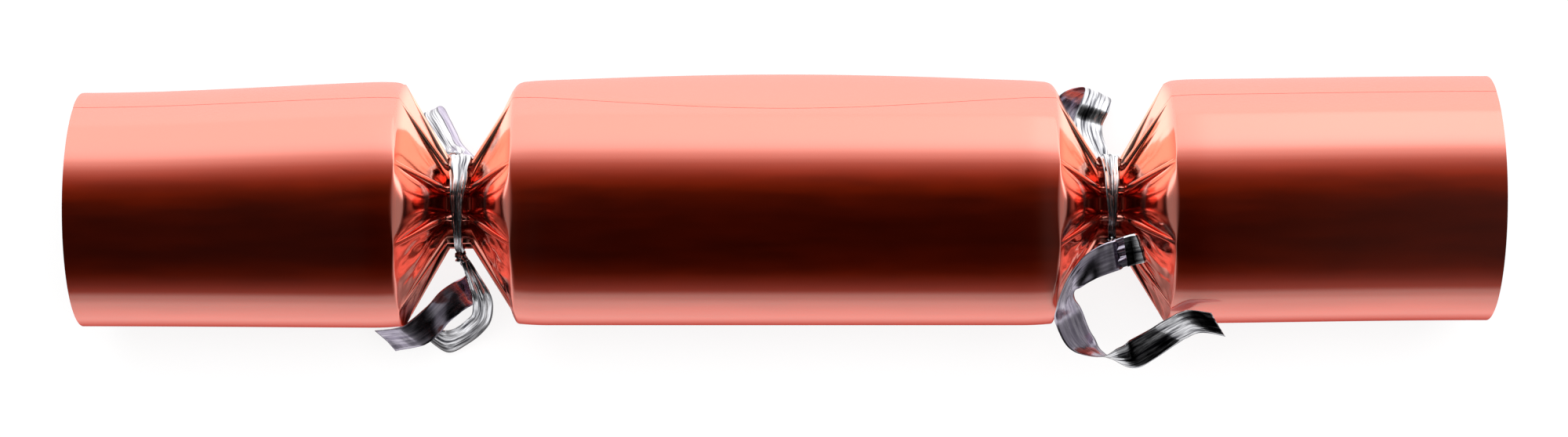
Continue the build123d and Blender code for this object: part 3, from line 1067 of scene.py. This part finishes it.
@dataclass
class Studio:
    """White table, soft wall of light on the far side, and the camera straight above.

    Levels are shares of wall_level and floor_level, which only mirrored rays see. The wall's rise with the
    angle from straight up towards +Y (over_levels) and with the way along the cracker (side_levels and
    wall_levels). The table's go by the place across it in millimetres.
    """

    floor_size: float = 6.0
    glow_share: float = 0.85
    wall_level: float = 2.0
    floor_level: float = 1.7
    plain_level: float = 1.0
    lamp_watts: float = 40.0
    lamp_size: tuple[float, float] = (1.6, 1.2)
    lamp_place: tuple[float, float, float] = (0.1, 0.3, 1.3)
    over_levels: Sequence[tuple[float, float]] = (
        (-180, 0), (-95, 0), (-88, 0.0446), (-80, 0.0174), (-70, 0.00172), (-58, 0), (-15, 0),
        (0, 0.000889), (8, 0.000667), (16, 0.00306), (24, 0.0114), (30, 0.0403), (36, 0.103),
        (42, 0.255), (48, 0.471), (54, 0.875), (62, 1), (180, 1),
    )
    side_levels: Sequence[tuple[float, float]] = (
        (-1, 0.179), (-0.8, 0.142), (-0.65, 0.0823), (-0.5, 0.0374), (-0.3, 0.00915), (-0.2, 0),
        (-0.12, 0.00308), (-0.05, 0), (0.12, 0), (0.2, 0.015), (0.3, 0), (0.5, 0.0748),
        (0.65, 0.135), (0.8, 0.172), (1, 0.194),
    )
    wall_levels: Sequence[tuple[float, float]] = (
        (-1, 0.76), (-0.2, 0.78), (-0.05, 0.8), (0.05, 0.854), (0.12, 1), (1, 1),
    )
    # The table's glow as the foil mirrors it paints its light and shade: darker towards the front, and a
    # painted shadow beside the cracker at -35 mm
    floor_levels: Sequence[tuple[float, float]] = (
        (-700, 0.0462), (-350, 0.247), (-220, 0.236), (-150, 0.422), (-110, 0.446), (-80, 0.511),
        (-55, 0.617), (-35, 0.0438), (0, 1),
    )

    def floor(self) -> bpy.types.Object:
        """Lay the pale table top.

        Returns:
            The table's object.
        """
        mesh = bmesh.new()
        bmesh.ops.create_grid(mesh, x_segments=1, y_segments=1, size=self.floor_size / 2)
        data = bpy.data.meshes.new("table_top")
        mesh.to_mesh(data)
        mesh.free()
        made = bpy.data.objects.new("table_top", data)
        bpy.context.scene.collection.objects.link(made)
        paint = bpy.data.materials.new("white_table_paper")
        paint.use_nodes = True
        tree = paint.node_tree
        tree.nodes.clear()
        place = add_node(tree, "ShaderNodeTexCoord")
        part = add_node(tree, "ShaderNodeSeparateXYZ", links={0: place.outputs["Object"]})
        span = self.floor_levels[0][0]
        near = add_node(tree, "ShaderNodeMapRange", values={"From Min": span / 1000, "From Max": 0.0},
                        links={"Value": part.outputs["Y"]})
        level = add_node(tree, "ShaderNodeValToRGB", links={0: near.outputs[0]},
                         stops=[(1 - y / span, lit) for y, lit in self.floor_levels])
        path = add_node(tree, "ShaderNodeLightPath")
        lit = add_node(tree, "ShaderNodeMath", {"operation": "MULTIPLY"}, values={1: self.floor_level},
                       links={0: level.outputs["Color"]})
        bright = add_node(tree, "ShaderNodeMix", values={3: 1.0},
                          links={0: path.outputs["Is Camera Ray"], 2: lit.outputs[0]})
        matt = add_node(tree, "ShaderNodeBsdfDiffuse", values={"Color": linear("#f4f4f4")})
        glow = add_node(tree, "ShaderNodeEmission", values={"Color": (1, 1, 1, 1)},
                        links={"Strength": bright.outputs[0]})
        seen = add_node(tree, "ShaderNodeMath", {"operation": "MAXIMUM"},
                        links={0: path.outputs["Is Camera Ray"], 1: path.outputs["Is Glossy Ray"]})
        seen = add_node(tree, "ShaderNodeMath", {"operation": "MAXIMUM"},
                        links={0: seen.outputs[0], 1: path.outputs["Is Transmission Ray"]})
        share = add_node(tree, "ShaderNodeMath", {"operation": "MULTIPLY"}, values={1: self.glow_share},
                         links={0: seen.outputs[0]})
        both = add_node(tree, "ShaderNodeMixShader",
                        links={0: share.outputs[0], 1: matt.outputs[0], 2: glow.outputs[0]})
        add_node(tree, "ShaderNodeOutputMaterial", links={"Surface": both.outputs[0]})
        data.materials.append(paint)
        return made

    def room(self) -> None:
        """Light the room: a bright far wall under a dark ceiling."""
        world = bpy.data.worlds.new("studio")
        bpy.context.scene.world = world
        world.use_nodes = True
        tree = world.node_tree
        tree.nodes.clear()
        way = add_node(tree, "ShaderNodeTexCoord")
        part = add_node(tree, "ShaderNodeSeparateXYZ", links={0: way.outputs["Generated"]})
        lean = add_node(tree, "ShaderNodeMath", {"operation": "ARCTAN2"},
                        links={0: part.outputs["Y"], 1: part.outputs["Z"]})
        turn = add_node(tree, "ShaderNodeMapRange",
                        values={"From Min": -math.pi, "From Max": math.pi, "To Min": 0.0, "To Max": 1.0},
                        links={"Value": lean.outputs[0]})
        over = add_node(tree, "ShaderNodeValToRGB", links={0: turn.outputs[0]},
                        stops=[(angle / 360 + 0.5, level) for angle, level in self.over_levels])
        aside = add_node(tree, "ShaderNodeMapRange", values={"From Min": -1.0},
                         links={"Value": part.outputs["X"]})
        side = add_node(tree, "ShaderNodeValToRGB", links={0: aside.outputs[0]},
                        stops=[(x / 2 + 0.5, level) for x, level in self.side_levels])
        wall = add_node(tree, "ShaderNodeValToRGB", links={0: aside.outputs[0]},
                        stops=[(x / 2 + 0.5, level) for x, level in self.wall_levels])
        lit = add_node(tree, "ShaderNodeMath", {"operation": "MULTIPLY"},
                       links={0: over.outputs["Color"], 1: wall.outputs["Color"]})
        lit = add_node(tree, "ShaderNodeMath", {"operation": "ADD"},
                       links={0: lit.outputs[0], 1: side.outputs["Color"]})
        path = add_node(tree, "ShaderNodeLightPath")
        level = add_node(tree, "ShaderNodeMapRange",
                         values={"To Min": self.plain_level, "To Max": self.wall_level},
                         links={"Value": path.outputs["Is Glossy Ray"]})
        room = add_node(tree, "ShaderNodeBackground",
                        links={"Color": lit.outputs[0], "Strength": level.outputs[0]})
        backdrop = add_node(tree, "ShaderNodeBackground", values={"Color": (1, 1, 1, 1), "Strength": 1.0})
        both = add_node(tree, "ShaderNodeMixShader",
                        links={0: path.outputs["Is Camera Ray"], 1: room.outputs[0],
                               2: backdrop.outputs[0]})
        add_node(tree, "ShaderNodeOutputWorld", links={"Surface": both.outputs[0]})

    def lamp(self) -> None:
        """Hang one wide soft lamp that lights matt surfaces from above."""
        light = bpy.data.lights.new("overhead_softbox", "AREA")
        light.shape = "RECTANGLE"
        light.size, light.size_y = self.lamp_size
        light.energy = self.lamp_watts
        made = bpy.data.objects.new("overhead_softbox", light)
        made.location = self.lamp_place
        made.rotation_euler = Vector(self.lamp_place).to_track_quat("Z", "Y").to_euler()
        made.visible_glossy = False
        bpy.context.scene.collection.objects.link(made)

    def camera(self) -> None:
        """Set the camera where the photograph was taken from."""
        lens = bpy.data.cameras.new("camera")
        lens.sensor_width = SENSOR_WIDTH
        lens.lens = SENSOR_WIDTH * CAMERA_HEIGHT / (IMAGE_WIDTH / PIXELS_PER_MM)
        lens.clip_start = 0.01
        lens.clip_end = 50.0
        made = bpy.data.objects.new("camera", lens)
        made.location = metres(*CAMERA_SHIFT, CAMERA_HEIGHT)
        bpy.context.scene.collection.objects.link(made)
        bpy.context.scene.camera = made

    def build(self) -> None:
        """Set up the whole studio."""
        bpy.context.scene.view_settings.view_transform = "Standard"
        self.floor()
        self.room()
        self.lamp()
        self.camera()


LEFT_TAILS = [
    Tail("curl", [
        ((0.3, -11.4, -1.0), (0.3, 0.0, -1.0)),
        ((1.6, -14.4, -3.0), (0.8, 0.3, -0.5)),
        ((2.7, -17.2, -6.0), (0.85, 0.35, -0.35)),
        ((3.8, -20.4, -9.0), (0.85, 0.25, -0.4)),
        ((3.9, -23.1, -12.0), (0.78, -0.05, -0.6)),
        ((3.1, -25.6, -15.0), (0.62, -0.3, -0.72)),
        ((1.1, -27.6, -18.0), (0.5, -0.46, -0.74)),
        ((-1.9, -29.7, -20.8), (0.38, -0.56, -0.73)),
        ((-5.0, -30.7, -23.0), (0.11, -0.78, -0.61)),
        ((-7.6, -29.5, -23.8), (-0.13, -0.67, -0.73)),
        ((-9.2, -27.8, -23.6), (-0.3, -0.59, -0.75)),
    ], spread=26.0, seed=1.0),
    Tail("streamer", [
        ((-0.2, -11.4, -2.0), (0.6, 0.0, -0.8)),
        ((0.9, -14.2, -7.5), (0.5, -0.3, -0.8)),
        ((2.2, -17.2, -12.5), (0.45, -0.75, -0.48)),
        ((1.2, -18.9, -13.8), (0.42, -0.9, -0.1)),
        ((-0.6, -19.9, -11.4), (0.57, -0.82, 0.0)),
        ((-3.1, -21.6, -10.6), (0.67, -0.74, -0.1)),
        ((-5.7, -24.2, -10.2), (0.7, -0.7, -0.5)),
        ((-8.3, -26.9, -10.0), (0.71, -0.71, -0.1)),
        ((-11.1, -28.9, -10.6), (0.75, -0.66, 0.0)),
        ((-13.3, -29.6, -12.0), (0.77, -0.63, 0.0)),
        ((-18.1, -30.4, -16.0), (0.72, -0.69, 0.0)),
    ], face=-1, seed=2.0),
    Tail("small_loop", [
        ((-0.4, 10.4, 0.3), (1.0, 0.0, 0.0)),
        ((-3.3, 12.4, -10.5), (0.42, 0.2, -0.88)),
        ((-5.2, 15.1, -13.2), (0.47, 0.24, -0.85)),
        ((-6.8, 17.8, -14.4), (0.5, 0.27, -0.82)),
        ((-8.1, 19.8, -15.4), (0.5, 0.27, -0.82)),
        ((-8.0, 20.9, -16.2), (0.5, 0.27, -0.82)),
        ((-6.9, 20.4, -17.0), (0.5, 0.27, -0.82)),
        ((-5.6, 18.0, -16.4), (0.5, 0.27, -0.82)),
        ((-4.0, 15.2, -15.4), (0.47, 0.24, -0.85)),
        ((-2.2, 12.4, -13.0), (0.42, 0.2, -0.88)),
        ((-0.6, 10.0, -8.0), (0.8, 0.1, -0.5)),
    ], face=-1, seed=3.0),
]
RIGHT_TAILS = [
    Tail("loop", [
        ((1.6, -8.8, 8.8), (0.35, -0.95, 0.0)),
        ((1.9, -9.6, 13.0), (0.3, -0.95, 0.0)),
        ((0.9, -10.8, 17.2), (0.14, -0.99, 0.0)),
        ((-1.7, -11.7, 18.3), (0.14, -0.99, 0.0)),
        ((-4.5, -12.9, 18.9), (0.02, -1.0, 0.0)),
        ((-7.0, -14.6, 18.8), (0.1, -0.9, -0.42)),
        ((-9.8, -17.9, 18.5), (0.4, -0.25, -0.9)),
        ((-10.5, -21.3, 16.5), (0.65, 0.25, -0.7)),
        ((-9.4, -24.7, 11.5), (0.9, 0.4, -0.15)),
        ((-6.6, -29.8, 7.0), (0.8, 0.45, -0.4)),
        ((-1.8, -32.8, 4.0), (0.2, 0.1, -0.97)),
        ((3.7, -33.4, 3.0), (0.45, -0.75, -0.5)),
        ((6.9, -31.7, 4.0), (0.7, -0.72, 0.0)),
        ((11.3, -28.8, 6.1), (0.85, -0.53, 0.0)),
        ((13.6, -27.1, 9.1), (0.75, -0.6, -0.25)),
        ((17.1, -25.3, 13.8), (0.55, -0.75, -0.4)),
        ((22.3, -26.0, 14.2), (0.5, -0.8, -0.35)),
    ], face=-1, seed=4.0),
    Tail("rolled_end", [
        ((0.2, -10.9, 17.3), (0.2, -0.98, 0.0)),
        ((3.4, -9.9, 17.2), (0.26, -0.96, 0.0)),
        ((5.3, -9.5, 18.2), (0.29, -0.96, 0.0)),
        ((5.2, -9.5, 19.8), (0.27, -0.96, 0.0)),
        ((3.6, -9.8, 20.4), (0.2, -0.98, 0.0)),
        ((1.9, -10.3, 20.2), (0.14, -0.99, 0.0)),
    ], start_width=6.2, seed=6.0),
    Tail("upper_curl", [
        ((-0.4, 7.6, -7.1), (1.0, 0.0, 0.0)),
        ((-2.6, 13.4, -13.0), (1.0, -0.2, 0.0)),
        ((-3.2, 17.8, -16.6), (0.95, -0.3, 0.0)),
        ((-1.6, 21.6, -17.8), (0.95, -0.35, 0.0)),
        ((-0.6, 24.6, -20.8), (0.9, -0.4, 0.0)),
        ((-2.8, 25.0, -24.8), (0.95, -0.3, 0.0)),
        ((-6.0, 23.0, -26.2), (0.9, -0.4, 0.0)),
        ((-8.2, 19.6, -25.2), (0.9, -0.4, 0.0)),
    ], face=-1, seed=5.0),
]


def main() -> None:
    """Build every sub-assembly in order."""
    logging.basicConfig(level=logging.INFO, format="%(name)s: %(message)s")
    barrel = Tube(Place.BARREL, "barrel_wrapper", "barrel", flap_bow=1.5, flap_turn=10.0, dents={
        (-1, 6): [Dent(0.5, 0.45, 0.8)], (-1, 5): [Dent(0.4, 0.5, 0.7), Dent(0.7, 0.3, 0.4)],
        (1, 6): [Dent(0.5, 0.4, 0.4)], (1, 5): [Dent(0.55, 0.4, 0.6)], (-1, 4): [Dent(0.4, 0.35, 0.5)],
    })
    left = Tube(Place.LEFT_END, "left_end_wrapper", "left_end", rim_squeeze=(1.015, 0.956),
                rim_drift=(-0.2, -1.4), dents={
        (-1, 5): [Dent(0.45, 0.3, 0.9)], (-1, 6): [Dent(0.3, 0.6, 0.5), Dent(0.7, 0.35, 0.4)],
        (-1, 4): [Dent(0.5, 0.4, 0.5)],
    })
    right = Tube(Place.RIGHT_END, "right_end_wrapper", "right_end", rim_drift=(0.3, 1.1), dents={
        (1, 6): [Dent(0.75, 0.5, 0.6)], (1, 5): [Dent(0.35, 0.45, 0.8)], (1, 8): [Dent(0.85, 0.2, 0.5)],
    })
    for tube in (left, barrel, right):
        tube.build()
    barrel.line(-LINER_HALF, LINER_HALF, "barrel_liner")
    left.line(-END_LINER[1], -END_LINER[0], "left_end_liner")
    right.line(*END_LINER, "right_end_liner")
    Tie("left_ribbon", -THROAT_MIDDLE, 265.0, LEFT_TAILS, gather=3.6, seed=1.0).build()
    Tie("right_ribbon", THROAT_MIDDLE, 314.0, RIGHT_TAILS, gather=1.6, seed=7.0).build()
    Contents({
        "left_snap_strip": STRIP_CARD, "right_snap_strip": STRIP_CARD,
        "left_snap_charge": DAB, "right_snap_charge": DAB,
        "snap_sleeve": SLEEVE_PAPER, "paper_crown": TISSUE, "crown_band": SLEEVE_PAPER,
        "motto_slip": MOTTO_PAPER, "gift_top_disc": TOP_WOOD, "gift_top_spindle": SPINDLE_WOOD,
    }).dress()
    Studio().build()


if __name__ == "__main__":
    main()
